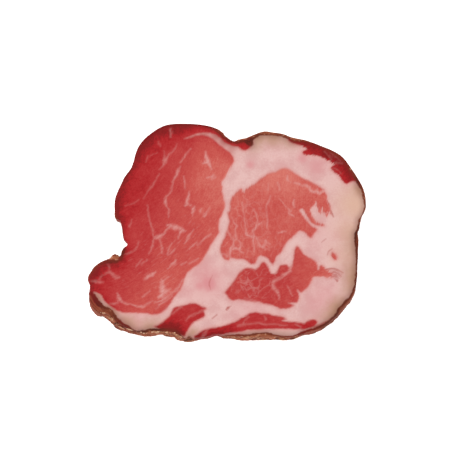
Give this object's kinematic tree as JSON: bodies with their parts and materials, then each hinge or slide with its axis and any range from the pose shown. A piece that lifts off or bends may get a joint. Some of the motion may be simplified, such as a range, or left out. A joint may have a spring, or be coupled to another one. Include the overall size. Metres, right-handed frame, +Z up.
{
  "type": "coppa slice",
  "caption": "Thick-cut slice of dry-cured pork coppa with sunken lean muscles, pale fat between them and a craggy dried crust.",
  "frame": {"origin": "centre of the slice's bounding box, on the flat lower cut that it rests on", "axes": "+X along the slice's longer side, towards the fat side; +Y across it, towards the top of the picture; +Z up, out of the cut face that shows"},
  "size_m": [0.1112, 0.0874, 0.008],
  "materials": {
    "meat": "cut face of cured pork, deep red lean with pale pink fat, satin and slightly moist, with a dark dried crust round the edge"
  },
  "bodies": {
    "root": {"slice": "meat"}
  },
  "joints": []
}
